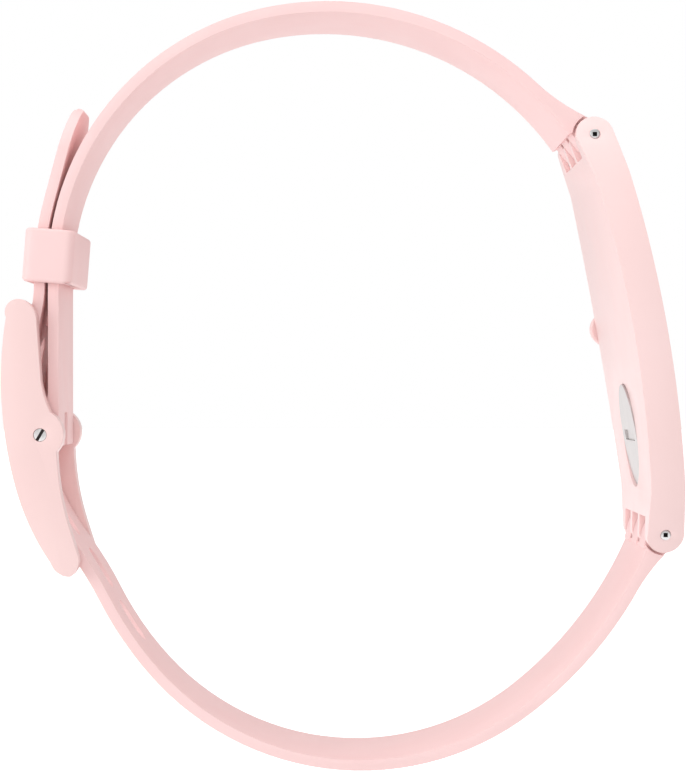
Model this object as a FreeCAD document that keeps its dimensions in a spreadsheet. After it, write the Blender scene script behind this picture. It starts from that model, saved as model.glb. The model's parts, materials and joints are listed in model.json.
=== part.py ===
# Fitness tracker band: a slim curved tracker case on a buckled two-piece strap.
# Frame: +X out through the display side, +Z up the tracker, +Y along the wrist (the
# button side).  The origin is the centre of the wrist opening.  Millimetres.
import FreeCAD, Part
import math
import os
import Sketcher
from FreeCAD import Placement, Rotation, Vector

doc = FreeCAD.newDocument("tracker_band")
sheet = doc.addObject("Spreadsheet::Sheet", "Sizes")
sizes = {}


def cell(alias, value):
    """Put one plain number in the sheet under an alias, and return it."""
    row = "A%d" % (len(sizes) + 1)
    sheet.set(row, repr(float(value)))
    sheet.setAlias(row, alias)
    sizes[alias] = float(value)
    return float(value)


# ---------------------------------------------------------------- driving dimensions
# Tracker case, in its own frame: x out of the display, y along the wrist, z up the case
CASE_TILT = cell("case_tilt", -10.0)
CASE_X = cell("case_centre_x", 28.8)
CASE_Z = cell("case_centre_z", 5.2)
PIN_HALF = cell("pin_half_pitch", 20.55)
CASE_W = cell("case_width", 31.0)
END_W = cell("case_end_width", 19.4)
END_R = cell("case_end_radius", 1.9)
BACK_X = cell("back_crown", -0.35)
BACK_DROP = cell("back_drop", 0.65)
FRONT_X = cell("front_crown", 2.95)
FRONT_DROP = cell("front_drop", 0.5)
SHOULDER_Z = cell("shoulder_height", PIN_HALF - cell("shoulder_setback", 4.55))
FLOOR_X = cell("cavity_floor", 0.55)
CAVITY_INSET = cell("cavity_inset", 2.1)
CAVITY_Z = cell("cavity_half_length", PIN_HALF - cell("cavity_setback", 4.65))
SEAT_X = cell("crystal_seat", 1.95)
SEAT_INSET = cell("seat_inset", 1.3)
SEAT_Z = cell("seat_half_length", PIN_HALF - cell("seat_setback", 3.75))
CORNER_R = cell("seat_corner_round", 2.0)
FIT = cell("assembly_gap", 0.15)
# Hinge comb
PIN_R = cell("case_pin_radius", 0.525)
PIN_FIT = cell("case_pin_bore", PIN_R + cell("case_pin_fit", 0.02))
PIN_BORE_R = cell("case_pin_socket_radius", 0.27)
RUN = cell("running_clearance", 0.05)
FINGER_W = cell("finger_width", 4.0)
SLOT_GAP = cell("finger_side_gap", 0.15)
KNUCKLE_W = cell("knuckle_width", 1.4)
COMB_R = cell("finger_eye_radius", 1.6)
ROOT_GAP = cell("strap_root_gap", 0.25)
# Display stack
GASKET_T = cell("gasket_thickness", 0.3)
PANEL_Y = cell("display_half_width", 9.3)
PANEL_Z = cell("display_half_length", CAVITY_Z - cell("display_end_margin", 2.5))
BACKLIGHT_X = cell("backlight_seat", 1.85)
BACKLIGHT_T = cell("backlight_thickness", 0.12)
PANEL_T = cell("display_thickness", 0.45)
FILM_T = cell("touch_film_thickness", 0.1)
DOME_EDGE = cell("crystal_edge_height", 2.58)
DOME_TOP = cell("crystal_crown_height", 3.12)
DOME_ROUND = cell("crystal_edge_round", 0.15)
# Board and battery
BOARD_X = cell("board_seat", 0.75)
BOARD_T = cell("board_thickness", 0.4)
BOARD_Y = cell("board_half_width", 9.0)
SCREW_R = cell("board_screw_radius", 0.3)
CELL_R = cell("battery_radius", 4.75)
CELL_Z = cell("battery_height", CELL_R + cell("battery_end_wall", 0.75) - CAVITY_Z)
BOARD_LOW = cell("board_low_end", CELL_Z + CELL_R + cell("battery_board_gap", 1.15))
BOARD_HIGH = cell("board_high_end", CAVITY_Z - cell("board_end_gap", 0.7))
CELL_T = cell("battery_thickness", 1.2)
CELL_X = cell("battery_seat", 0.42)
SPIGOT_R = cell("spigot_radius", CELL_R + cell("spigot_wall", 0.13))
HATCH_R = cell("hatch_radius", SPIGOT_R + cell("hatch_lip", 0.5))
HATCH_T = cell("hatch_thickness", 0.62)
HATCH_SEAT = cell("hatch_seat", 0.0)
SPIGOT_T = cell("spigot_length", 0.35)
# Side button
BUTTON_X = cell("button_offset", 0.9)
BUTTON_Z = cell("button_height", 1.05)
BUTTON_R = cell("button_radius", 1.9)
BUTTON_T = cell("button_depth", 1.2)
BUTTON_GAP = cell("button_travel_gap", 0.4)
STEM_R = cell("stem_radius", 0.6)
BUSH_R = cell("button_bush_radius", 0.85)
# Straps
STRAP_T = cell("strap_thickness", 1.1)
TAIL_T = cell("tail_thickness", 1.08)
UPPER_CENTRE = (-2.85, 11.6)
UPPER_R = cell("upper_arc_radius", 27.6)
STRAND_GAP = cell("strand_gap", 0.18)
STRAP_W = cell("strap_width_at_case", 17.0)
TAIL_W = cell("strap_width_at_buckle", 12.3)
TIP_ROUND = cell("tip_corner_round", 5.6)
HOLE_PITCH = cell("hole_pitch", 5.5)
HOLE_LONG = cell("hole_half_length", 2.1)
HOLE_WIDE = cell("hole_half_width", 1.25)
# Buckle
BUCKLE_X = cell("buckle_pin_x", -30.98)
BUCKLE_Z = cell("buckle_pin_z", -4.98)
BUCKLE_W = cell("buckle_width", 16.6)
ARM_T = cell("buckle_arm_thickness", 1.9)
BUCKLE_PIN_R = cell("buckle_pin_radius", 0.66)
EYE_R = cell("strap_eye_radius", 1.22)
TONGUE_W = cell("tongue_width", 1.6)
TONGUE_GAP = cell("tongue_side_gap", 0.35)
# Keeper
KEEPER_Z = cell("keeper_z", 13.3)
KEEPER_TILT = cell("keeper_tilt", 4.5)
KEEPER_H = cell("keeper_height", 5.5)
KEEPER_WINDOW = cell("keeper_window_depth", STRAP_T + TAIL_T + STRAND_GAP + cell("keeper_play", 0.67))
KEEPER_D = cell("keeper_depth", KEEPER_WINDOW + 2 * cell("keeper_wall", 1.05))
KEEPER_OFFSET = cell("keeper_window_offset", -0.22)
KEEPER_WALL = cell("keeper_side_wall", 1.15)
KEEPER_SLACK = cell("keeper_side_slack", 0.3)
KEEPER_X = cell("keeper_x", UPPER_CENTRE[0] - UPPER_R + (STRAP_T - STRAND_GAP - TAIL_T) / 2 + 0.265)
doc.recompute()

CASE_PLACE = Placement(Vector(CASE_X, 0, CASE_Z), Rotation(Vector(0, 1, 0), CASE_TILT))
tilt = math.radians(-CASE_TILT)
PIN_A = (CASE_X - PIN_HALF * math.sin(tilt), CASE_Z + PIN_HALF * math.cos(tilt))
PIN_B = (CASE_X + PIN_HALF * math.sin(tilt), CASE_Z - PIN_HALF * math.cos(tilt))
BUCKLE_PIN = (BUCKLE_X, BUCKLE_Z)
SLOT_W = cell("slot_width", FINGER_W + 2 * SLOT_GAP)
PITCH = cell("finger_pitch", SLOT_W + KNUCKLE_W)
PARTS = []


# ---------------------------------------------------------------- helpers
def polar(centre, radius, degrees):
    """The point at an angle and distance from a centre."""
    a = math.radians(degrees)
    return (centre[0] + radius * math.cos(a), centre[1] + radius * math.sin(a))


def origin_plane(body, role):
    return next(f for f in body.Origin.OriginFeatures if f.Role == role)


def sketch(body, name, role, loops, offset=0.0):
    """Closed loops of lines and three-point arcs, each corner bound to sheet cells.

    A loop is a start point, then points for lines and [middle, end] pairs for arcs.
    """
    sk = body.newObject("Sketcher::SketchObject", name)
    sk.AttachmentSupport = [(origin_plane(body, role), "")]
    sk.MapMode = "FlatFace"
    if offset:
        sk.AttachmentOffset = Placement(Vector(0, 0, offset), Rotation())
    bound = []
    for loop in loops:
        here, first = loop[0], sk.GeometryCount
        for step in loop[1:]:
            points = [here] + (list(step) if isinstance(step, list) else [step])
            corners = [Vector(p[0], p[1], 0) for p in points]
            kind = Part.LineSegment if len(corners) == 2 else Part.Arc
            sk.addGeometry(kind(*corners), False)
            here = points[-1]
        bound += range(first, sk.GeometryCount)
    for index in bound:
        edge = sk.Geometry[index]
        if not isinstance(edge, Part.LineSegment):
            continue
        for way, value in (("X", edge.StartPoint.x), ("Y", edge.StartPoint.y)):
            if abs(value) < 1e-6:
                continue
            alias = "%s_%s_corner_%d%s" % (body.Name, name, index, way.lower())
            cell(alias, value)
            spot = sk.addConstraint(Sketcher.Constraint("Distance" + way, -1, 1, index, 1, value))
            sk.setExpression("Constraints[%d]" % spot, "Sizes." + alias)
    return sk


def circles(body, name, role, places, radius, offset=0.0):
    """Circles of one radius, which is the name of a sheet cell or a number."""
    sk = body.newObject("Sketcher::SketchObject", name)
    sk.AttachmentSupport = [(origin_plane(body, role), "")]
    sk.MapMode = "FlatFace"
    if offset:
        sk.AttachmentOffset = Placement(Vector(0, 0, offset), Rotation())
    for spot in places:
        index = sk.addGeometry(Part.Circle(Vector(spot[0], spot[1], 0), Vector(0, 0, 1), sizes[radius]), False)
        rule = sk.addConstraint(Sketcher.Constraint("Radius", index, sizes[radius]))
        sk.setExpression("Constraints[%d]" % rule, "Sizes." + radius)
    return sk


def feature(body, kind, name, profile, length=None, reverse=False, middle=False):
    """A Pad or Pocket; length is a sheet alias, or None for through all."""
    made = body.newObject("PartDesign::" + kind, name)
    made.Profile = profile
    if length is None:
        made.Type = "ThroughAll"
    else:
        made.setExpression("Length", "Sizes." + length)
    made.Reversed = reverse
    made.Midplane = middle
    doc.recompute([sheet, profile, made, body])
    return made


def cut(body, name, profile, length=None, reverse=False, middle=False):
    """A Pocket that has to take something away."""
    before = body.Shape.Volume
    made = feature(body, "Pocket", name, profile, length, reverse, middle)
    if not made.Shape.Volume < before - 1e-4:
        raise ValueError("%s %s cuts nothing" % (body.Label, name))
    return made


def new_body(name):
    body = doc.addObject("PartDesign::Body", name)
    body.Label = name
    return body


def keep(obj, name, place=None):
    """Register a finished sub-part."""
    obj.Label = name
    if place is not None:
        obj.Placement = place
    PARTS.append(obj)
    return obj


def box(name, x, y, z, place=CASE_PLACE, show=True):
    """A block between three pairs of limits, its sides bound to the sheet."""
    made = doc.addObject("Part::Box", name)
    for prop, way, (low, high) in (("Length", "x", x), ("Width", "y", y), ("Height", "z", z)):
        cell("%s_%s" % (name, way), high - low)
        made.setExpression(prop, "Sizes.%s_%s" % (name, way))
    made.Placement = place * Placement(Vector(x[0], y[0], z[0]), Rotation())
    return keep(made, name) if show else made


def disc(name, radius, x, y, z, place=CASE_PLACE, show=True):
    """A round piece whose axis is the case's x, between two x limits."""
    made = doc.addObject("Part::Cylinder", name)
    cell(name + "_radius", radius)
    cell(name + "_length", x[1] - x[0])
    made.setExpression("Radius", "Sizes.%s_radius" % name)
    made.setExpression("Height", "Sizes.%s_length" % name)
    made.Placement = place * Placement(Vector(x[0], y, z), Rotation(Vector(0, 1, 0), 90))
    return keep(made, name) if show else made


def rod(name, radius, x, z, y, place, show=True):
    """A round piece whose axis runs along y, between two y limits."""
    made = doc.addObject("Part::Cylinder", name)
    cell(name + "_radius", radius)
    cell(name + "_length", y[1] - y[0])
    made.setExpression("Radius", "Sizes.%s_radius" % name)
    made.setExpression("Height", "Sizes.%s_length" % name)
    made.Placement = place * Placement(Vector(x, y[0], z), Rotation(Vector(1, 0, 0), -90))
    return keep(made, name) if show else made


def combine(kind, name, shapes, show=True):
    """A Part boolean of kind Cut, MultiFuse or MultiCommon."""
    made = doc.addObject("Part::" + kind, name)
    if kind == "Cut":
        made.Base, made.Tool = shapes
    else:
        made.Shapes = shapes
    doc.recompute([sheet] + list(shapes) + [made])
    return keep(made, name) if show else made


# ---------------------------------------------------------------- case outline
BARREL_R = (PIN_HALF ** 2 + ((CASE_W - END_W) / 2) ** 2) / (CASE_W - END_W)


def half_width(z, inset=0.0):
    """Half the case's width at a height, for its outline moved inwards by inset."""
    return CASE_W / 2 - BARREL_R + math.sqrt((BARREL_R - inset) ** 2 - z ** 2)


def barrel(inset, half_length):
    """The case's plan outline, inset, between two straight ends."""
    side, middle = half_width(half_length, inset), CASE_W / 2 - inset
    return [(-side, -half_length), (side, -half_length),
            [(middle, 0), (side, half_length)],
            (-side, half_length), [(-middle, 0), (-side, -half_length)]]


def rectangle(y, z):
    return [(y[0], z[0]), (y[1], z[0]), (y[1], z[1]), (y[0], z[1]), (y[0], z[0])]


def edges_along_x(shape, length):
    """Straight edges along x, by name, no shorter than a length."""
    names = []
    for index, edge in enumerate(shape.Edges):
        run = edge.Vertexes[-1].Point - edge.Vertexes[0].Point
        if abs(run.x) >= length and abs(run.y) + abs(run.z) < 1e-4:
            names.append("Edge%d" % (index + 1))
    return names


def fillet(body, name, names, alias):
    base = body.Tip
    made = body.newObject("PartDesign::Fillet", name)
    made.Base = (base, names)
    made.setExpression("Radius", "Sizes." + alias)
    doc.recompute([made, body])
    return made


def make_case_shell():
    body = new_body("case_shell")
    front_edge, back_edge = FRONT_X - FRONT_DROP, BACK_X - BACK_DROP
    side = [(-END_R, -PIN_HALF), [(0, -PIN_HALF - END_R), (END_R, -PIN_HALF)],
            (front_edge, -SHOULDER_Z), [(FRONT_X, 0), (front_edge, SHOULDER_Z)],
            (END_R, PIN_HALF), [(0, PIN_HALF + END_R), (-END_R, PIN_HALF)],
            (back_edge, SHOULDER_Z), [(BACK_X, 0), (back_edge, -SHOULDER_Z)],
            (-END_R, -PIN_HALF)]
    profile = sketch(body, "side_outline", "XZ_Plane", [side])
    feature(body, "Pad", "block", profile, "case_width", middle=True)
    reach, far = PIN_HALF + 2 * END_R, CASE_W
    flanks = []
    for sign in (1, -1):
        edge = sign * half_width(reach)
        flanks.append([(edge, -reach), [(sign * CASE_W / 2, 0), (edge, reach)],
                       (sign * far, reach), (sign * far, -reach), (edge, -reach)])
    cut(body, "flanks", sketch(body, "flank_outline", "YZ_Plane", flanks), middle=True)
    slot_base, slots = PIN_HALF - END_R - FIT, []
    for end in (1, -1):
        for place in (-1, 0, 1):
            y = place * PITCH
            zs = sorted((end * slot_base, end * reach))
            slots.append(rectangle((y - SLOT_W / 2, y + SLOT_W / 2), zs))
    cut(body, "comb_slots", sketch(body, "slot_outline", "YZ_Plane", slots), middle=True)

    seat = sketch(body, "seat_outline", "YZ_Plane", [barrel(SEAT_INSET, SEAT_Z)], SEAT_X)
    cut(body, "crystal_seat", seat, reverse=True)
    cavity = sketch(body, "cavity_outline", "YZ_Plane", [barrel(CAVITY_INSET, CAVITY_Z)], FLOOR_X)
    cut(body, "cavity", cavity, reverse=True)

    cell("hatch_recess_radius", HATCH_R + RUN + 0.02)
    cell("hatch_opening_radius", SPIGOT_R + RUN + 0.02)
    spot = [(0, CELL_Z)]
    cut(body, "hatch_recess", circles(body, "recess_circle", "YZ_Plane", spot, "hatch_recess_radius", HATCH_SEAT))
    opening = circles(body, "opening_circle", "YZ_Plane", spot, "hatch_opening_radius", HATCH_SEAT - FIT)
    cut(body, "hatch_opening", opening, reverse=True)

    bores = circles(body, "pin_circles", "XZ_Plane", [(0, PIN_HALF), (0, -PIN_HALF)], "case_pin_bore")
    cut(body, "pin_bores", bores, middle=True)
    bush = circles(body, "bush_circle", "XZ_Plane", [(BUTTON_X, BUTTON_Z)], "button_bush_radius", -CASE_W / 4)
    cut(body, "bush_bore", bush)
    keep(body, "case_shell", CASE_PLACE)


def make_display():
    gasket_top = cell("gasket_top", SEAT_X + GASKET_T)
    gasket = new_body("crystal_gasket")
    ring = [barrel(SEAT_INSET + FIT, SEAT_Z - FIT), barrel(CAVITY_INSET - FIT, CAVITY_Z + FIT)]
    feature(gasket, "Pad", "ring", sketch(gasket, "ring_outline", "YZ_Plane", ring, SEAT_X), "gasket_thickness")
    keep(gasket, "crystal_gasket", CASE_PLACE)

    crystal = new_body("display_crystal")
    cell("crystal_stock", DOME_TOP - gasket_top)
    plan = sketch(crystal, "plan", "YZ_Plane", [barrel(SEAT_INSET + FIT, SEAT_Z - FIT)], gasket_top)
    feature(crystal, "Pad", "stock", plan, "crystal_stock")
    end, above = SEAT_Z + 1, DOME_TOP + 2
    dome = [(DOME_EDGE, -end), [(DOME_TOP, 0), (DOME_EDGE, end)], (above, end), (above, -end), (DOME_EDGE, -end)]
    cut(crystal, "dome", sketch(crystal, "dome_outline", "XZ_Plane", [dome]), middle=True)
    top = []
    for index, edge in enumerate(crystal.Shape.Edges):
        low = min(edge.valueAt(edge.FirstParameter).x, edge.valueAt(edge.LastParameter).x)
        if low > DOME_EDGE - 0.01:
            top.append("Edge%d" % (index + 1))
    fillet(crystal, "edge_round", top, "crystal_edge_round")
    film_top = BACKLIGHT_X + BACKLIGHT_T + PANEL_T + FILM_T
    cell("crystal_pocket", film_top - gasket_top)
    y, z = PANEL_Y + 2 * FIT, PANEL_Z + 2 * FIT
    pocket = sketch(crystal, "pocket_outline", "YZ_Plane", [rectangle((-y, y), (-z, z))], gasket_top)
    cut(crystal, "pocket", pocket, "crystal_pocket", reverse=True)
    keep(crystal, "display_crystal", CASE_PLACE)

    level = BACKLIGHT_X
    for name, thick in (("display_backlight", BACKLIGHT_T), ("display_panel", PANEL_T), ("touch_film", FILM_T)):
        box(name, (level, level + thick), (-PANEL_Y, PANEL_Y), (-PANEL_Z, PANEL_Z))
        level += thick
    board_top = BOARD_X + BOARD_T
    box("display_flex", (board_top, level - 0.2), (-3, 3), (PANEL_Z + 0.02, PANEL_Z + 0.17))


def screw_places():
    return [(y * (BOARD_Y - 1.2), z) for y in (-1, 1) for z in (BOARD_LOW + 1.0, BOARD_HIGH - 1.2)]


def make_inner_frame():
    frame = new_body("inner_frame")
    low = FLOOR_X
    cell("inner_frame_depth", BACKLIGHT_X - low)
    outline = sketch(frame, "outline", "YZ_Plane", [barrel(CAVITY_INSET + FIT, CAVITY_Z - FIT)], low)
    feature(frame, "Pad", "plate", outline, "inner_frame_depth")
    cell("battery_well_radius", CELL_R + FIT)
    well = circles(frame, "well_circle", "YZ_Plane", [(0, CELL_Z)], "battery_well_radius", low)
    cut(frame, "battery_well", well, reverse=True)
    bay = rectangle((-BOARD_Y - FIT, BOARD_Y + FIT), (BOARD_LOW - FIT, BOARD_HIGH + FIT))
    cut(frame, "board_bay", sketch(frame, "bay_outline", "YZ_Plane", [bay], BOARD_X), reverse=True)
    window = rectangle((-BOARD_Y + 2.4, BOARD_Y - 2.4), (BOARD_LOW + 2.2, BOARD_HIGH - 2.4))
    cut(frame, "board_window", sketch(frame, "window_outline", "YZ_Plane", [window], low), reverse=True)
    channel = rectangle((-4, 4), (CELL_Z + 2, BOARD_LOW + 1))
    cut(frame, "contact_channel", sketch(frame, "channel_outline", "YZ_Plane", [channel], BOARD_X + BOARD_T),
        reverse=True)
    notch = rectangle((switch_seat(), CASE_W), (BUTTON_Z - 1.4, BUTTON_Z + 1.4))
    cut(frame, "switch_notch", sketch(frame, "notch_outline", "YZ_Plane", [notch], low), reverse=True)
    holes = circles(frame, "screw_circles", "YZ_Plane", screw_places(), "board_screw_radius", low)
    cut(frame, "screw_holes", holes, reverse=True)
    keep(frame, "inner_frame", CASE_PLACE)


def stem_end():
    """How far out the button stem's inner end lies."""
    return half_width(BUTTON_Z, CAVITY_INSET) - 1.0


def switch_seat():
    return stem_end() - BUTTON_GAP - 0.45


def make_electronics():
    board = new_body("main_board")
    outline = rectangle((-BOARD_Y, BOARD_Y), (BOARD_LOW, BOARD_HIGH))
    feature(board, "Pad", "plate", sketch(board, "outline", "YZ_Plane", [outline], BOARD_X), "board_thickness")
    holes = circles(board, "screw_circles", "YZ_Plane", screw_places(), "board_screw_radius", BOARD_X)
    cut(board, "screw_holes", holes, reverse=True)
    keep(board, "main_board", CASE_PLACE)

    top = BOARD_X + BOARD_T
    low = BOARD_LOW
    for name, height, y, z in (("processor_chip", 0.6, (-3, 3), (low + 6.5, low + 12.5)),
                               ("memory_chip", 0.55, (3.8, 6.8), (low + 7, low + 12)),
                               ("radio_module", 0.6, (-6.9, -3.9), (low + 7.5, low + 12.5)),
                               ("motion_sensor", 0.5, (-6.4, -4.4), (low + 5, low + 7)),
                               ("timing_crystal", 0.55, (4.4, 7.4), (low + 3.5, low + 5.1)),
                               ("antenna_strip", 0.4, (8.2, 8.9), (low + 4, BOARD_HIGH - 2.4))):
        box(name, (top, top + height), y, z)
    chips = []
    for index in range(12):
        row, column = divmod(index, 6)
        y, z = -2.9 + 1.15 * column, low + 2.2 + 1.4 * row
        chips.append(box("passive_%d" % index, (top, top + 0.4), (y, y + 0.55), (z, z + 1.0), show=False))
    combine("MultiFuse", "board_passives", chips)
    disc("piezo_buzzer", 4.0, (FLOOR_X, FLOOR_X + 0.15), 0, (BOARD_LOW + BOARD_HIGH) / 2)
    screws = []
    for index, (y, z) in enumerate(screw_places()):
        screws.append(disc("screw_head_%d" % index, 2.1 * SCREW_R, (top, top + 0.3), y, z, show=False))
        screws.append(disc("screw_shank_%d" % index, SCREW_R, (FLOOR_X + 0.05, top), y, z, show=False))
    combine("MultiFuse", "board_screws", screws)

    disc("battery_cell", CELL_R, (CELL_X, CELL_X + CELL_T), 0, CELL_Z)
    over = CELL_X + CELL_T
    leaf = box("negative_leaf", (over, over + 0.12), (-1, 1), (CELL_Z, BOARD_LOW + 0.6), show=False)
    foot = box("negative_foot", (top, over + 0.12), (-1, 1), (BOARD_LOW + 0.45, BOARD_LOW + 0.6), show=False)
    combine("MultiFuse", "contact_negative", [leaf, foot])
    reach = CELL_Z + math.sqrt(CELL_R ** 2 - 2.4 ** 2) + 0.01
    box("contact_positive", (top, top + 0.2), (2.4, 3.4), (reach, BOARD_LOW + 0.9))
    seat = switch_seat()
    box("dome_switch", (FLOOR_X + 0.05, FLOOR_X + 1.2), (seat, seat + 0.45), (BUTTON_Z - 1.1, BUTTON_Z + 1.1))


def make_hatch():
    top, seat = HATCH_SEAT - 0.03, HATCH_SEAT
    flange = disc("hatch_flange", HATCH_R, (top - HATCH_T, top), 0, CELL_Z, show=False)
    spigot = disc("hatch_spigot", SPIGOT_R, (top, seat + SPIGOT_T), 0, CELL_Z, show=False)
    plug = combine("MultiFuse", "hatch_plug", [flange, spigot], show=False)
    groove = doc.addObject("Part::Torus", "seal_groove")
    seal = doc.addObject("Part::Torus", "hatch_seal")
    seal_r = cell("seal_section_radius", 0.13)
    for ring in (groove, seal):
        cell(ring.Name + "_radius", SPIGOT_R - 0.1)
        ring.setExpression("Radius1", "Sizes.%s_radius" % ring.Name)
        ring.setExpression("Radius2", "Sizes.seal_section_radius")
        ring.Placement = CASE_PLACE * Placement(Vector(seat + SPIGOT_T / 2, 0, CELL_Z), Rotation(Vector(0, 1, 0), 90))
    slot = box("coin_slot", (top - HATCH_T - 0.1, top - HATCH_T + 0.25), (-3.6, 3.6),
               (CELL_Z - 0.55, CELL_Z + 0.55), show=False)
    tools = combine("MultiFuse", "hatch_cuts", [groove, slot], show=False)
    combine("Cut", "battery_hatch", (plug, tools))
    keep(seal, "hatch_seal")
    return seal_r


def make_button():
    wall = half_width(BUTTON_Z)
    cap_low = wall + BUTTON_GAP + 0.05
    x, z = BUTTON_X, BUTTON_Z
    cap = rod("button_cap", BUTTON_R, x, z, (cap_low, cap_low + BUTTON_T), CASE_PLACE, show=False)
    stem = rod("button_stem", STEM_R, x, z, (stem_end(), cap_low), CASE_PLACE, show=False)
    whole = combine("MultiFuse", "button_blank", [cap, stem], show=False)
    rounded = doc.addObject("Part::Fillet", "button_round")
    rounded.Base = whole
    rim = []
    for index, edge in enumerate(whole.Shape.Edges):
        if edge.Curve.TypeId == "Part::GeomCircle" and abs(edge.Curve.Radius - BUTTON_R) < 1e-6:
            rim.append((index + 1, 0.3, 0.3))
    rounded.Edges = rim
    doc.recompute([rounded])
    keep(rounded, "side_button")
    inner = half_width(BUTTON_Z + BUSH_R, CAVITY_INSET)
    sleeve = rod("bush_sleeve", BUSH_R, x, z, (inner + 0.02, wall - 0.12), CASE_PLACE, show=False)
    bore = rod("bush_hole", STEM_R + RUN, x, z, (inner - 1, wall + 1), CASE_PLACE, show=False)
    combine("Cut", "button_bush", (sleeve, bore))


def make_case_pins():
    half = END_W / 2 - 0.15
    for name, end in (("upper_pin", 1), ("lower_pin", -1)):
        z = end * PIN_HALF
        bar = rod(name + "_bar", PIN_R, 0, z, (-half, half), CASE_PLACE, show=False)
        hole = rod(name + "_hole", PIN_BORE_R, 0, z, (-half - 1, half + 1), CASE_PLACE, show=False)
        combine("Cut", name, (bar, hole))


# ---------------------------------------------------------------- straps
class Track:
    """A path of tangent runs and arcs, walked from a point and a heading in degrees."""

    def __init__(self, point, heading):
        self.point, self.heading, self.steps = point, heading, []

    def run(self, length):
        start = (self.point, self.heading)
        self.point = polar(self.point, length, self.heading)
        self.steps.append((start, None, (self.point, self.heading)))
        return self

    def bend(self, length, turn):
        """An arc of a length that turns left by so many degrees (right if negative)."""
        start, radius = (self.point, self.heading), length / math.radians(turn)
        centre = polar(self.point, radius, self.heading + 90)
        for share in (0.5, 1.0):
            heading = start[1] + turn * share
            point = polar(centre, -radius, heading + 90)
            if share == 0.5:
                middle = (point, heading)
        self.point, self.heading = point, heading
        self.steps.append((start, middle, (point, heading)))
        return self

    def arc(self, radius, turn):
        """An arc of a radius that turns left by so many degrees (right if negative)."""
        return self.bend(abs(math.radians(turn)) * radius, turn)

    def side(self, offset, backwards=False):
        """Sketch steps along the path, moved left of it by an offset."""
        def moved(state):
            return polar(state[0], offset, state[1] + 90)
        steps = self.steps[::-1] if backwards else self.steps
        out = []
        for start, middle, end in steps:
            goal = moved(start if backwards else end)
            out.append([moved(middle), goal] if middle else goal)
        return out

    def at(self, distance):
        """The point and heading at a distance from the start."""
        for (point, heading), middle, (end, end_heading) in self.steps:
            turn = end_heading - heading
            gap = math.dist(point, end)
            length = gap if not middle else abs(math.radians(turn) * gap / (2 * math.sin(math.radians(turn / 2))))
            if distance <= length:
                walker = Track(point, heading)
                walker.run(distance) if not middle else walker.bend(distance, turn * distance / length)
                return walker.point, walker.heading
            distance -= length
        return self.point, self.heading

    def length(self):
        total = 0.0
        for (point, heading), middle, (end, end_heading) in self.steps:
            gap, half = math.dist(point, end), math.radians(end_heading - heading) / 2
            total += gap if not middle else abs(half * gap / math.sin(half))
        return total


def taper(body, name, case_x, buckle_x):
    """Trim both sides of a strap to its width, wide at the case and narrow at the buckle."""
    wide, narrow, far = STRAP_W / 2, TAIL_W / 2, STRAP_W
    sides = []
    for sign in (1, -1):
        sides.append([(case_x + 5, sign * wide), (case_x, sign * wide), (buckle_x, sign * narrow),
                      (-2 * far - 5, sign * narrow), (-2 * far - 5, sign * far), (case_x + 5, sign * far),
                      (case_x + 5, sign * wide)])
    cut(body, name, sketch(body, name + "_outline", "XY_Plane", sides), middle=True)


def fingers(body, pin, outer_angle, inner_angle, bore):
    """Three hinge fingers that reach from the strap root round the case pin."""
    middle = (outer_angle + inner_angle) / 2
    spread = 75 if inner_angle > outer_angle else -75
    root = END_R + ROOT_GAP + 0.3
    inset = 4 if inner_angle > outer_angle else -4
    loop = [polar(pin, COMB_R, middle - spread),
            [polar(pin, COMB_R, middle + 180), polar(pin, COMB_R, middle + spread)],
            polar(pin, root, inner_angle - inset), polar(pin, root, outer_angle + inset),
            polar(pin, COMB_R, middle - spread)]
    for place in (-1, 0, 1):
        name = "finger_%d" % (place + 1)
        profile = sketch(body, name + "_outline", "XZ_Plane", [loop], -place * PITCH)
        feature(body, "Pad", name, profile, "finger_width", middle=True)
    cut(body, "finger_bores", circles(body, "finger_circle", "XZ_Plane", [pin], bore), middle=True)


CROWN_R = cell("crown_arc_radius", 31.5)
CROWN_JOIN = cell("crown_join_angle", 102.0)
LOWER_CENTRE = (1.41, -10.7)
LOWER_R = cell("lower_arc_radius", 28.55)
HEEL_R = cell("heel_arc_radius", 42.3)
HEEL_JOIN = cell("heel_join_angle", -51.8)
RISE_R = cell("rise_arc_radius", 36.1)
RISE_JOIN = cell("rise_join_angle", -137.7)


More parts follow.
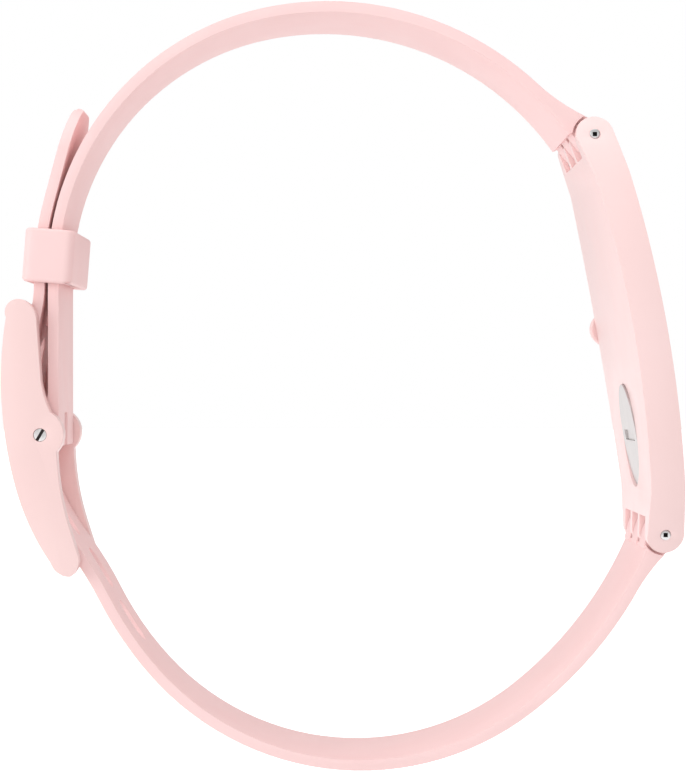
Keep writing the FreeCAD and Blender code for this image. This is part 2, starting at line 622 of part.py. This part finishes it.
def make_buckle_strap():
    body = new_body("buckle_strap")
    crown = polar(UPPER_CENTRE, UPPER_R - CROWN_R, CROWN_JOIN)
    left = UPPER_CENTRE[0] - UPPER_R
    outer_angle, inner_angle, recess = 114, 172, END_R + ROOT_GAP
    outer = polar(PIN_A, recess, outer_angle)
    inner = polar(PIN_A, recess, inner_angle)
    flare, lip, join = 47.0, 35.6, CROWN_JOIN
    start = polar(crown, CROWN_R, flare)
    via = ((outer[0] + start[0]) / 2 - 0.12, (outer[1] + start[1]) / 2 - 0.2)
    thin = STRAP_T
    foot = BUCKLE_Z
    loop = [outer, [via, start],
            [polar(crown, CROWN_R, (flare + join) / 2), polar(UPPER_CENTRE, UPPER_R, join)],
            [polar(UPPER_CENTRE, UPPER_R, (join + 180) / 2), (left, UPPER_CENTRE[1])],
            (left, foot), (left + thin, foot), (left + thin, UPPER_CENTRE[1]),
            [polar(UPPER_CENTRE, UPPER_R - thin, (join + 180) / 2), polar(UPPER_CENTRE, UPPER_R - thin, join)],
            [polar(crown, CROWN_R - thin, (join + lip) / 2), polar(crown, CROWN_R - thin, lip)],
            inner, [polar(PIN_A, recess, (outer_angle + inner_angle) / 2), outer]]
    profile = sketch(body, "side_outline", "XZ_Plane", [loop])
    feature(body, "Pad", "ribbon", profile, "strap_width_at_case", middle=True)
    x, z, inner_x = BUCKLE_X, BUCKLE_Z, left + thin
    eye = [(inner_x, z), (inner_x, z + 4.2), (left, z + 4.2), (left - 0.3, z + 2.4), polar(BUCKLE_PIN, EYE_R, 150),
           [polar(BUCKLE_PIN, EYE_R, 210), polar(BUCKLE_PIN, EYE_R, 285)], (inner_x, z - EYE_R), (inner_x, z)]
    feature(body, "Pad", "eye", sketch(body, "eye_outline", "XZ_Plane", [eye]), "strap_width_at_buckle", middle=True)
    taper(body, "taper", PIN_A[0] - 2, UPPER_CENTRE[0] - 20)
    cell("strap_eye_bore", BUCKLE_PIN_R + RUN)
    bore = circles(body, "eye_circle", "XZ_Plane", [BUCKLE_PIN], "strap_eye_bore")
    cut(body, "eye_bore", bore, middle=True)
    half = TONGUE_W / 2 + TONGUE_GAP
    slot = rectangle((-half, half), (BUCKLE_Z - 3, BUCKLE_Z + 2.2))
    cut(body, "tongue_slot", sketch(body, "slot_outline", "YZ_Plane", [slot]), middle=True)
    cell("finger_running_bore", PIN_R + RUN)
    fingers(body, PIN_A, outer_angle, inner_angle, "finger_running_bore")
    keep(body, "buckle_strap")


def tail_track():
    """The hole strap's inner face, from its root beside the case to the free tip."""
    heel = polar(LOWER_CENTRE, LOWER_R - HEEL_R, HEEL_JOIN)
    lip, flare = -24.0, -31.0
    track = Track(polar(heel, HEEL_R - TAIL_T, lip), lip - 90)
    track.arc(HEEL_R - TAIL_T, flare - lip)
    track.arc(HEEL_R - TAIL_T, HEEL_JOIN - flare)
    track.arc(LOWER_R - TAIL_T, RISE_JOIN - HEEL_JOIN)
    track.arc(RISE_R - TAIL_T, -15.3)
    for length, turn in ((6.0, 9.0), (5.0, -7.0), (7.6, -20.0), (5.0, -17.0), (5.6, -4.0)):
        track.bend(length, turn)
    track.run(2.1)
    track.bend(3.2, -270.0 - track.heading)
    track.run(UPPER_CENTRE[1] - track.point[1])
    track.arc(UPPER_R + STRAND_GAP, -15.0)
    track.run(10.1)
    return track


def oblong(across, along):
    """A hole outline: (y, other) centre, with its long way along the strap."""
    half, flat = HOLE_WIDE, HOLE_LONG - HOLE_WIDE
    y, z = across, along
    return [(y - half, z - flat), [(y, z - flat - half), (y + half, z - flat)], (y + half, z + flat),
            [(y, z + flat + half), (y - half, z + flat)], (y - half, z - flat)]


def make_hole_strap():
    body = new_body("hole_strap")
    track = tail_track()
    recess, outer_angle, inner_angle = END_R + ROOT_GAP, -90, -148
    outer, inner = polar(PIN_B, recess, outer_angle), polar(PIN_B, recess, inner_angle)
    faces = track.side(TAIL_T)
    start = faces[0][-1]
    via = ((outer[0] + start[0]) / 2 - 0.15, (outer[1] + start[1]) / 2 + 0.12)
    end = polar(track.point, TAIL_T, track.heading + 90)
    nose = polar(polar(track.point, TAIL_T / 2, track.heading + 90), 0.35, track.heading)
    loop = [outer, [via, start]] + faces[1:] + [[nose, track.point]] + track.side(0, backwards=True)
    loop += [inner, [polar(PIN_B, recess, (outer_angle + inner_angle) / 2), outer]]
    profile = sketch(body, "side_outline", "XZ_Plane", [loop])
    feature(body, "Pad", "ribbon", profile, "strap_width_at_case", middle=True)
    taper(body, "taper", PIN_B[0] - 6, UPPER_CENTRE[0] - 19)
    tip, half, far = end[1] + 0.1, TAIL_W / 2, STRAP_W
    corner = []
    for sign in (1, -1):
        root, shoulder = tip - TIP_ROUND, sign * (half + 0.2)
        bulge = (sign * (half - 1.5), tip - 1.7)
        corner.append([(shoulder, root), [bulge, (sign * 1.2, tip)], (sign * 1.2, tip + 5), (sign * far, tip + 5),
                       (sign * far, root), (shoulder, root)])
    cut(body, "tip_round", sketch(body, "tip_outline", "YZ_Plane", corner), middle=True)
    holes = [oblong(0, BUCKLE_Z - 3.12 + step * HOLE_PITCH) for step in range(-3, 4)]
    cut(body, "strap_holes", sketch(body, "hole_outline", "YZ_Plane", holes))
    fingers(body, PIN_B, outer_angle, inner_angle, "case_pin_bore")
    keep(body, "hole_strap")


# ---------------------------------------------------------------- buckle and keeper
def make_buckle():
    track = tail_track()
    body = new_body("buckle_frame")
    x, z = BUCKLE_PIN
    top_bar = [(-32.7, 6.6), (-32.5, 8.5), (-33.6, 8.7), (-34.3, 7.0), (-32.7, 6.6)]
    near, far = TAIL_T + 0.3, TAIL_T + 1.7
    low, heading = (-26.3, -17.85), 123.0
    high = polar(low, 2.9, heading)
    bottom_bar = [polar(low, near, heading + 90), polar(low, far, heading + 90), polar(high, far, heading + 90),
                  polar(high, near, heading + 90), polar(low, near, heading + 90)]
    arm = [(-34.45, 7.0), [(-34.95, 0.8), (-33.5, -10.2)], [(-32.1, -14.1), (-29.9, -18.0)],
           [(-29.1, -19.05), (-27.9, -19.4)], [(-27.25, -18.7), (-27.2, -17.0)], (-28.0, -14.5),
           [(-28.95, -10.5), (-29.3, -6.7)], [(-28.6, -4.9), (-29.95, -2.7)], [(-30.5, -1.3), (-30.9, 0.4)],
           (-31.35, 6.6), [(-31.75, 7.95), (-32.5, 8.65)], [(-33.75, 8.75), (-34.45, 7.0)]]
    feature(body, "Pad", "keeper_bar", sketch(body, "top_outline", "XZ_Plane", [top_bar]), "buckle_width", middle=True)
    middle = (BUCKLE_W - ARM_T) / 2
    for name, place in (("near_arm", middle), ("far_arm", -middle)):
        profile = sketch(body, name + "_outline", "XZ_Plane", [arm], place)
        feature(body, "Pad", name, profile, "buckle_arm_thickness", middle=True)
    feature(body, "Pad", "rest_bar", sketch(body, "rest_outline", "XZ_Plane", [bottom_bar]), "buckle_width", middle=True)
    cell("frame_pin_bore", BUCKLE_PIN_R + 0.02)
    cut(body, "pin_bore", circles(body, "pin_circle", "XZ_Plane", [BUCKLE_PIN], "frame_pin_bore"), middle=True)
    keep(body, "buckle_frame")

    half = BUCKLE_W / 2 - 0.1
    bar = rod("pin_bar", BUCKLE_PIN_R, x, z, (-half, half), Placement(), show=False)
    slot = box("pin_slot", (-0.8, 0.8), (-half - 1, -half + 0.35), (-0.15, 0.15),
               Placement(Vector(x, 0, z), Rotation(Vector(0, 1, 0), -60)), show=False)
    combine("Cut", "buckle_pin", (bar, slot))

    tongue = new_body("buckle_tongue")
    ring = 1.2
    outline = [polar(BUCKLE_PIN, ring, 225), (-33.1, -8.6), [(-33.95, -9.9), (-33.75, -11.6)], (-31.85, -16.7),
               [(-31.5, -17.3), (-31.0, -16.95)], (-32.75, -11.5), [(-32.75, -10.3), (-32.15, -9.0)],
               polar(BUCKLE_PIN, ring, 285), [polar(BUCKLE_PIN, ring, 76), polar(BUCKLE_PIN, ring, 225)]]
    profile = sketch(tongue, "side_outline", "XZ_Plane", [outline])
    feature(tongue, "Pad", "prong", profile, "tongue_width", middle=True)
    cell("tongue_running_bore", BUCKLE_PIN_R + RUN)
    cut(tongue, "ring_bore", circles(tongue, "ring_circle", "XZ_Plane", [BUCKLE_PIN], "tongue_running_bore"),
        middle=True)
    keep(tongue, "buckle_tongue")


def make_keeper():
    """A sleeve round both strands; its own z runs along them."""
    sleeve = new_body("keeper_loop")
    reach = cell("keeper_window_width", TAIL_W + 2 * KEEPER_SLACK)
    cell("keeper_length", KEEPER_H)
    half_d, half_w = KEEPER_D / 2, reach / 2 + KEEPER_WALL
    r = 1.0
    k = r * (1 - math.sqrt(0.5))
    outer = [(half_d - r, -half_w), [(half_d - k, -half_w + k), (half_d, -half_w + r)],
             (half_d, half_w - r), [(half_d - k, half_w - k), (half_d - r, half_w)],
             (r - half_d, half_w), [(k - half_d, half_w - k), (-half_d, half_w - r)],
             (-half_d, r - half_w), [(k - half_d, k - half_w), (r - half_d, -half_w)], (half_d - r, -half_w)]
    low, high = KEEPER_OFFSET - KEEPER_WINDOW / 2, KEEPER_OFFSET + KEEPER_WINDOW / 2
    window = rectangle((low, high), (-reach / 2, reach / 2))
    profile = sketch(sleeve, "sleeve_outline", "XY_Plane", [outer, window])
    feature(sleeve, "Pad", "sleeve", profile, "keeper_length", middle=True)
    keep(sleeve, "keeper_loop", Placement(Vector(KEEPER_X, 0, KEEPER_Z), Rotation(Vector(0, 1, 0), KEEPER_TILT)))


make_case_shell()
make_display()
make_inner_frame()
make_electronics()
make_hatch()
make_button()
make_case_pins()
make_buckle_strap()
make_hole_strap()
make_buckle()
make_keeper()
doc.recompute()

os.makedirs("parts", exist_ok=True)
for obj in doc.Objects:
    if "Invalid" in obj.State or "Error" in obj.State:
        raise RuntimeError("%s did not recompute: %s" % (obj.Label, obj.State))
for obj in PARTS:
    shape = obj.Shape
    if shape.isNull() or not shape.isValid() or len(shape.Solids) < 1:
        raise RuntimeError("%s has no valid solid" % obj.Label)
    shape.exportStep("parts/%s.step" % obj.Label)
    print("%-18s solids %d volume %9.3f" % (obj.Label, len(shape.Solids), shape.Volume))
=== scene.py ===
"""Fitness tracker band: a barrel-shaped case on a two-piece rubber strap, buckled in a ring.

Metres throughout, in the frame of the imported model: +X out of the display, +Z up the case,
+Y towards the button side, and the origin in the middle of the wrist opening.
"""
import json
import math

import bpy
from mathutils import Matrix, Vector


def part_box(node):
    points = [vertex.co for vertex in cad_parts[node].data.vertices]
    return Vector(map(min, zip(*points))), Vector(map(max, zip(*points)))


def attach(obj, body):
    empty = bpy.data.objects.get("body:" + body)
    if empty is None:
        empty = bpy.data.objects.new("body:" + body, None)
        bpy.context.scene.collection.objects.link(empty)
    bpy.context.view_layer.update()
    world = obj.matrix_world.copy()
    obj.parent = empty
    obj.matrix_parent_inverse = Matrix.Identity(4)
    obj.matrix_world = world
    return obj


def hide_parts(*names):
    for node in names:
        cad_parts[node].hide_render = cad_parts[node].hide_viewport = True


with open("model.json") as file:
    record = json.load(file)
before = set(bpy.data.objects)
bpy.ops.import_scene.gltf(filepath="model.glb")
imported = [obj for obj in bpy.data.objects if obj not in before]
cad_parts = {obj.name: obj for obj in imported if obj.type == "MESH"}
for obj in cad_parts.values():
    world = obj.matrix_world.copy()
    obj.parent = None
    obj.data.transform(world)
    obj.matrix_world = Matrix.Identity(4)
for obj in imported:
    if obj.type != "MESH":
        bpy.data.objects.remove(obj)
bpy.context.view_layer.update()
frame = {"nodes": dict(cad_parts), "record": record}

MM = 0.001
NODES = frame["nodes"]

# Angles in degrees: faces that meet flatter than this are shaded as one surface, and edges
# sharper than SHARP_EDGE are rounded over.
SMOOTH_MOULDING = 28
SMOOTH_PIN = 35
SHARP_EDGE = 32

# Hinge pins, in millimetres.
PIN_RADIUS = 0.525
PIN_CHAMFER_WIDTH, PIN_CHAMFER_DEPTH = 0.09, 0.06
PIN_RIM = 0.16
SOCKET_HALF, SOCKET_DEPTH = 0.22, 0.7
SOCKET_REACH = 0.3

# Slot in the buckle pin's head, in millimetres.
SLOT_DEPTH = 0.3
SLOT_ABOVE, SLOT_BELOW = 0.28, 0.1
SLOT_REACH = 0.58

FLOOR_LEVEL = -62
WHITE = (1, 1, 1, 1)


# ---------------------------------------------------------------- node maths
class Wire:
    """A node socket that Python's own operators can add to and scale."""

    def __init__(self, material, socket):
        self.material, self.socket = material, socket

    def maths(self, operation, other):
        return self.material.node("ShaderNodeMath", {"operation": operation}, {0: self, 1: other})

    def __add__(self, other):
        return self.maths("ADD", other)

    def __mul__(self, other):
        return self.maths("MULTIPLY", other)

    __radd__, __rmul__ = __add__, __mul__


class Finish:
    """A procedural material, built up from one Principled shader."""

    def __init__(self, name, **fixed):
        self.material = bpy.data.materials.new(name)
        self.material.use_nodes = True
        self.tree = self.material.node_tree
        self.shader = self.tree.nodes["Principled BSDF"]
        for socket, value in fixed.items():
            self.shader.inputs[socket.replace("_", " ")].default_value = value
        self.coords = self.node("ShaderNodeTexCoord", output="Object")

    def node(self, kind, settings=None, inputs=None, output=0):
        """Adds a node, sets it up, fills its sockets and returns one output."""
        made = self.tree.nodes.new(kind)
        for key, value in (settings or {}).items():
            if key == "stops":
                ramp = made.color_ramp
                while len(ramp.elements) < len(value):
                    ramp.elements.new(0.5)
                for element, (place, colour) in zip(ramp.elements, value):
                    element.position, element.color = place, colour
            else:
                setattr(made, key, value)
        for key, value in (inputs or {}).items():
            if isinstance(value, Wire):
                self.tree.links.new(value.socket, made.inputs[key])
            else:
                made.inputs[key].default_value = value
        return Wire(self, made.outputs[output])

    def noise(self, scale, detail=3.0, stretch=None, roughness=0.5):
        where = self.coords
        if stretch:
            where = self.node("ShaderNodeMapping", None, {"Vector": where, "Scale": stretch},
                              "Vector")
        return self.node("ShaderNodeTexNoise", None, {"Vector": where, "Scale": scale,
                                                      "Detail": detail, "Roughness": roughness})

    def ramp(self, value, low, high):
        """Grey from 0 to 1 as a value goes from low to high."""
        return self.node("ShaderNodeMapRange", None, {"Value": value, "From Min": low,
                                                      "From Max": high, "To Min": 0.0,
                                                      "To Max": 1.0})

    def mix(self, mask, first, second):
        """Blends two colours by a mask."""
        made = self.tree.nodes.new("ShaderNodeMix")
        made.data_type = "RGBA"
        for key, value in ((0, mask), (6, first), (7, second)):
            if isinstance(value, Wire):
                self.tree.links.new(value.socket, made.inputs[key])
            else:
                made.inputs[key].default_value = value if key == 0 else (*value, 1.0)[:4]
        return Wire(self, made.outputs[2])

    def feed(self, socket, value):
        self.tree.links.new(value.socket, self.shader.inputs[socket])
        return self

    def bump(self, height, strength, distance):
        normal = self.node("ShaderNodeBump", None,
                           {"Height": height, "Strength": strength, "Distance": distance}, "Normal")
        return self.feed("Normal", normal)


def moulded(name, light, dark, rough, grain, grain_depth, **fixed):
    """Moulded rubber or plastic: soft mottling, a fine skin texture and worn, duller patches."""
    finish = Finish(name, **fixed)
    mottle = finish.ramp(finish.noise(90.0, 4.0), 0.3, 0.7)
    finish.feed("Base Color", finish.mix(mottle, dark, light))
    patches = finish.ramp(finish.noise(240.0, 5.0), 0.3, 0.75)
    finish.feed("Roughness", patches * 0.1 + (rough - 0.05))
    skin = finish.noise(grain, 4.0, roughness=0.6)
    flow = finish.noise(320.0, 2.0)
    return finish.bump(skin + flow * 0.6, 0.35, grain_depth)


def metal(name, colour, rough, stretch, scale=2500.0):
    """Steel with fine drawn scratches along one way."""
    finish = Finish(name, Metallic=1.0)
    scratch = finish.noise(scale, 4.0, stretch)
    shaded = [channel * 0.86 for channel in colour]
    finish.feed("Base Color", finish.mix(finish.ramp(scratch, 0.3, 0.7), shaded, colour))
    finish.feed("Roughness", scratch * 0.22 + (rough - 0.1))
    return finish.bump(scratch, 0.3, 0.00001)


def speckled(name, colour, rough, scale=1500.0, **fixed):
    """A plain hidden finish with fine speckle, for boards, films, chips and seals."""
    finish = Finish(name, **fixed)
    grain = finish.ramp(finish.noise(scale, 3.0), 0.35, 0.65)
    shaded = [channel * 0.8 for channel in colour]
    finish.feed("Base Color", finish.mix(grain, shaded, colour))
    finish.feed("Roughness", grain * 0.08 + rough)
    return finish.bump(grain, 0.2, 0.00001)


STRAP_PINK, STRAP_SHADE = (0.975, 0.695, 0.685), (0.955, 0.665, 0.655)
CASE_PINK, CASE_SHADE = (0.950, 0.695, 0.682), (0.930, 0.670, 0.653)
BUCKLE_PINK, BUCKLE_SHADE = (0.945, 0.690, 0.670), (0.925, 0.660, 0.640)
CRYSTAL_PINK, CRYSTAL_SHADE = (0.95, 0.80, 0.79), (0.94, 0.78, 0.77)
SATIN = {"Coat_Weight": 0.15, "Coat_Roughness": 0.3}
FINISHES = {
    "strap_rubber": moulded("strap rubber", STRAP_PINK, STRAP_SHADE, 0.52, 5200.0, 0.00002,
                            Specular_IOR_Level=0.3),
    "case_plastic": moulded("case plastic", CASE_PINK, CASE_SHADE, 0.38, 7000.0, 0.00001, **SATIN),
    "buckle_plastic": moulded("buckle plastic", BUCKLE_PINK, BUCKLE_SHADE, 0.4, 6500.0, 0.00001,
                              **SATIN),
    "crystal": moulded("display crystal", CRYSTAL_PINK, CRYSTAL_SHADE, 0.16, 9000.0, 0.000004,
                       Coat_Weight=0.6, Coat_Roughness=0.06),
    "steel": metal("pin steel", (0.62, 0.61, 0.61), 0.34, (1.0, 0.08, 1.0)),
    "hatch_steel": metal("hatch steel", (0.62, 0.59, 0.585), 0.42, (0.1, 1.0, 0.1), 1800.0),
    "brass": metal("buzzer brass", (0.75, 0.56, 0.27), 0.36, (1.0, 1.0, 1.0)),
    "black_rubber": speckled("black rubber", (0.03, 0.03, 0.03), 0.6),
    "display_glass": speckled("touch film", (0.5, 0.55, 0.6), 0.08, Coat_Weight=0.5),
    "display_dark": speckled("display panel", (0.02, 0.02, 0.025), 0.12),
    "white_film": speckled("white film", (0.82, 0.82, 0.8), 0.45),
    "amber_film": speckled("amber film", (0.5, 0.2, 0.03), 0.35),
    "frame_plastic": speckled("inner frame plastic", (0.05, 0.05, 0.055), 0.55),
    "board_green": speckled("board resin", (0.01, 0.12, 0.035), 0.3),
    "chip_black": speckled("chip resin", (0.02, 0.02, 0.02), 0.4),
    "ceramic_white": speckled("ceramic", (0.75, 0.72, 0.64), 0.35),
    # Painted shade: a near-black finish laid on the faces deep in sockets and slots, standing in
    # for the shade there.
    "socket": speckled("socket shadow", (0.075, 0.065, 0.065), 0.7),
}


def coat(piece, slot):
    """Gives a piece one of this object's finishes."""
    piece.data.materials.clear()
    piece.data.materials.append(FINISHES[slot].material)


# ---------------------------------------------------------------- making pieces
def select_only(piece):
    bpy.ops.object.select_all(action="DESELECT")
    piece.select_set(True)
    bpy.context.view_layer.objects.active = piece


def hand_over(piece, node, body, slot, smooth_below):
    """Smooths and finishes a selected piece, and gives it to the frame in a node's place."""
    bpy.ops.object.shade_smooth_by_angle(angle=math.radians(smooth_below))
    coat(piece, slot)
    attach(piece, body)
    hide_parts(node)
    return piece


def softened(node, name, body, slot, round_mm, steps=3, clamp=True):
    """A CAD node's shape with its edges rounded over, as the mould leaves them."""
    source = NODES[node]
    piece = bpy.data.objects.new(name, source.data.copy())
    bpy.context.collection.objects.link(piece)
    select_only(piece)
    bpy.ops.object.mode_set(mode="EDIT")
    bpy.ops.mesh.select_all(action="SELECT")
    bpy.ops.mesh.remove_doubles(threshold=2e-6)
    bpy.ops.mesh.dissolve_limited(angle_limit=math.radians(0.2))
    bpy.ops.object.mode_set(mode="OBJECT")
    bevel = piece.modifiers.new("round", "BEVEL")
    bevel.width, bevel.segments = round_mm * MM, steps
    bevel.limit_method, bevel.angle_limit = "ANGLE", math.radians(SHARP_EDGE)
    bevel.miter_outer, bevel.use_clamp_overlap = "MITER_ARC", clamp
    bpy.ops.object.modifier_apply(modifier=bevel.name)
    return hand_over(piece, node, body, slot, SMOOTH_MOULDING)


for subpart in frame["record"]["subparts"]:
    coat(NODES[subpart["node"]], subpart["material_slot"])

softened("case_shell", "case_shell_moulding", "band", "case_plastic", 0.5)
softened("buckle_strap", "buckle_strap_moulding", "band", "strap_rubber", 0.22)
softened("hole_strap", "hole_strap_moulding", "band", "strap_rubber", 0.22)
softened("keeper_loop", "keeper_moulding", "keeper", "strap_rubber", 0.36, steps=4, clamp=False)
softened("buckle_frame", "buckle_frame_moulding", "buckle", "buckle_plastic", 0.4)
softened("buckle_tongue", "buckle_tongue_moulding", "tongue", "buckle_plastic", 0.25)


# ---------------------------------------------------------------- pins
def centre_of(node):
    """The middle and the size of a CAD node's box."""
    low, high = (Vector(corner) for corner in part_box(node))
    return (low + high) / 2, high - low


def select_end(piece, way):
    """Selects the faces that look one way along the wrist."""
    for polygon in piece.data.polygons:
        polygon.select = polygon.normal.y * way > 0.9


def squared(piece, centre, half):
    """Pushes the corners of the selected faces out or in to a square about a centre."""
    for polygon in piece.data.polygons:
        if polygon.select:
            for index in polygon.vertices:
                spot = piece.data.vertices[index].co
                x, z = spot.x - centre.x, spot.z - centre.z
                grow = half / max(abs(x), abs(z))
                spot.x, spot.z = centre.x + x * grow, centre.z + z * grow


def paint_recess_shade(piece, centre, reach, first, last):
    """Paints shade into a socket or slot between two places along the wrist: its faces there get
    the near-black painted-shade finish.
    """
    piece.data.materials.append(FINISHES["socket"].material)
    for polygon in piece.data.polygons:
        spot = polygon.center
        if first < spot.y < last and math.hypot(spot.x - centre.x, spot.z - centre.z) < reach:
            polygon.material_index = 1


def hinge_pin(node, name):
    """A hinge pin with a chamfered rim and a square driving socket in each end."""
    centre, size = centre_of(node)
    bpy.ops.object.select_all(action="DESELECT")
    bpy.ops.mesh.primitive_cylinder_add(vertices=48, radius=PIN_RADIUS * MM, depth=size.y,
                                        location=centre, rotation=(math.radians(90), 0, 0))
    pin = bpy.context.object
    pin.name = name
    bpy.ops.object.transform_apply(location=True, rotation=True, scale=True)
    bpy.ops.object.mode_set(mode="EDIT")
    bpy.ops.mesh.select_mode(type="FACE")
    bpy.ops.mesh.select_all(action="DESELECT")
    bpy.ops.object.mode_set(mode="OBJECT")
    for way in (-1, 1):
        select_end(pin, way)
        bpy.ops.object.mode_set(mode="EDIT")
        bpy.ops.mesh.inset(thickness=PIN_CHAMFER_WIDTH * MM, depth=PIN_CHAMFER_DEPTH * MM)
        bpy.ops.mesh.inset(thickness=PIN_RIM * MM)
        bpy.ops.object.mode_set(mode="OBJECT")
        squared(pin, centre, SOCKET_HALF * MM)
        bpy.ops.object.mode_set(mode="EDIT")
        inwards = (0, -way * SOCKET_DEPTH * MM, 0)
        bpy.ops.mesh.extrude_region_move(TRANSFORM_OT_translate={"value": inwards})
        bpy.ops.mesh.select_all(action="DESELECT")
        bpy.ops.object.mode_set(mode="OBJECT")
    bpy.ops.object.mode_set(mode="EDIT")
    bpy.ops.mesh.select_all(action="SELECT")
    bpy.ops.mesh.remove_doubles(threshold=1e-6)
    bpy.ops.mesh.normals_make_consistent(inside=False)
    bpy.ops.object.mode_set(mode="OBJECT")
    hand_over(pin, node, "band", "steel", SMOOTH_PIN)
    # Painted shade: the faces deep in both square sockets get the near-black painted-shade finish.
    paint_recess_shade(pin, centre, SOCKET_REACH * MM, centre.y - size.y, centre.y + size.y)


hinge_pin("upper_pin", "upper_hinge_pin")
hinge_pin("lower_pin", "lower_hinge_pin")

screw = softened("buckle_pin", "buckle_pin_screw", "buckle", "steel", 0.1)
screw_centre, screw_size = centre_of("buckle_pin")
slot_floor = screw_centre.y - screw_size.y / 2 + SLOT_DEPTH * MM
# Painted shade: the faces in the screw head's slot get the near-black painted-shade finish.
paint_recess_shade(screw, screw_centre, SLOT_REACH * MM,
       slot_floor - SLOT_ABOVE * MM, slot_floor + SLOT_BELOW * MM)


# ---------------------------------------------------------------- stage, light and camera
def pale_floor():
    """A pale floor under the ring that throws no colour back on it."""
    bpy.ops.mesh.primitive_plane_add(size=6.0, location=(0, 0, FLOOR_LEVEL * MM))
    floor = bpy.context.object
    floor.name = "floor"
    surface = Finish("pale floor", Roughness=0.9)
    surface.shader.inputs["Base Color"].default_value = (0.95, 0.95, 0.95, 1)
    surface.shader.inputs["Emission Color"].default_value = WHITE
    surface.shader.inputs["Emission Strength"].default_value = 0.6
    floor.data.materials.append(surface.material)
    floor.visible_diffuse = False


def studio():
    """White walls all round: brighter from below and from the buckle's side."""
    world = bpy.data.worlds.new("studio")
    bpy.context.scene.world = world
    world.use_nodes = True
    tree = world.node_tree
    soft = tree.nodes["Background"]
    soft.inputs["Color"].default_value = WHITE
    way = tree.nodes.new("ShaderNodeTexCoord")
    split = tree.nodes.new("ShaderNodeSeparateXYZ")
    tree.links.new(way.outputs["Generated"], split.inputs[0])
    total = tree.nodes.new("ShaderNodeMath")
    for slot, (axis, start, end) in enumerate((("Z", 0.97, 0.65), ("X", 0.12, -0.12))):
        level = tree.nodes.new("ShaderNodeMapRange")
        tree.links.new(split.outputs[axis], level.inputs["Value"])
        level.inputs["From Min"].default_value, level.inputs["From Max"].default_value = -1.0, 1.0
        level.inputs["To Min"].default_value, level.inputs["To Max"].default_value = start, end
        tree.links.new(level.outputs[0], total.inputs[slot])
    tree.links.new(total.outputs[0], soft.inputs["Strength"])
    plain = tree.nodes.new("ShaderNodeBackground")
    plain.inputs["Color"].default_value, plain.inputs["Strength"].default_value = WHITE, 1.0
    ray = tree.nodes.new("ShaderNodeLightPath")
    either = tree.nodes.new("ShaderNodeMixShader")
    tree.links.new(ray.outputs["Is Camera Ray"], either.inputs[0])
    tree.links.new(soft.outputs[0], either.inputs[1])
    tree.links.new(plain.outputs[0], either.inputs[2])
    tree.links.new(either.outputs[0], tree.nodes["World Output"].inputs["Surface"])


def lamps():
    """Three soft lamps that face the middle of the ring: place in metres, watts, width."""
    for name, place, power, size in (("key", (-0.45, -0.4, 0.12), 0.92, 0.35),
                                     ("fill", (0.2, -0.5, -0.05), 0.2, 0.5),
                                     ("top", (0.0, -0.1, 0.5), 0.9, 0.4)):
        lamp = bpy.data.lights.new(name, "AREA")
        lamp.energy, lamp.size = power, size
        lamp_object = bpy.data.objects.new(name, lamp)
        bpy.context.collection.objects.link(lamp_object)
        lamp_object.location = place
        lamp_object.rotation_euler = (-Vector(place)).to_track_quat("-Z", "Y").to_euler()


def camera():
    """Looks along the wrist opening from in front, level with its middle."""
    eye = bpy.data.cameras.new("camera")
    eye.lens, eye.sensor_width = 103.4, 36.0
    eye.clip_start, eye.clip_end = 0.01, 20.0
    eye_object = bpy.data.objects.new("camera", eye)
    bpy.context.collection.objects.link(eye_object)
    eye_object.location = (-0.2 * MM, -234 * MM, -0.1 * MM)
    eye_object.rotation_euler = (math.radians(90), 0, 0)
    bpy.context.scene.camera = eye_object


pale_floor()
studio()
lamps()
camera()
bpy.context.scene.view_settings.view_transform = "Standard"
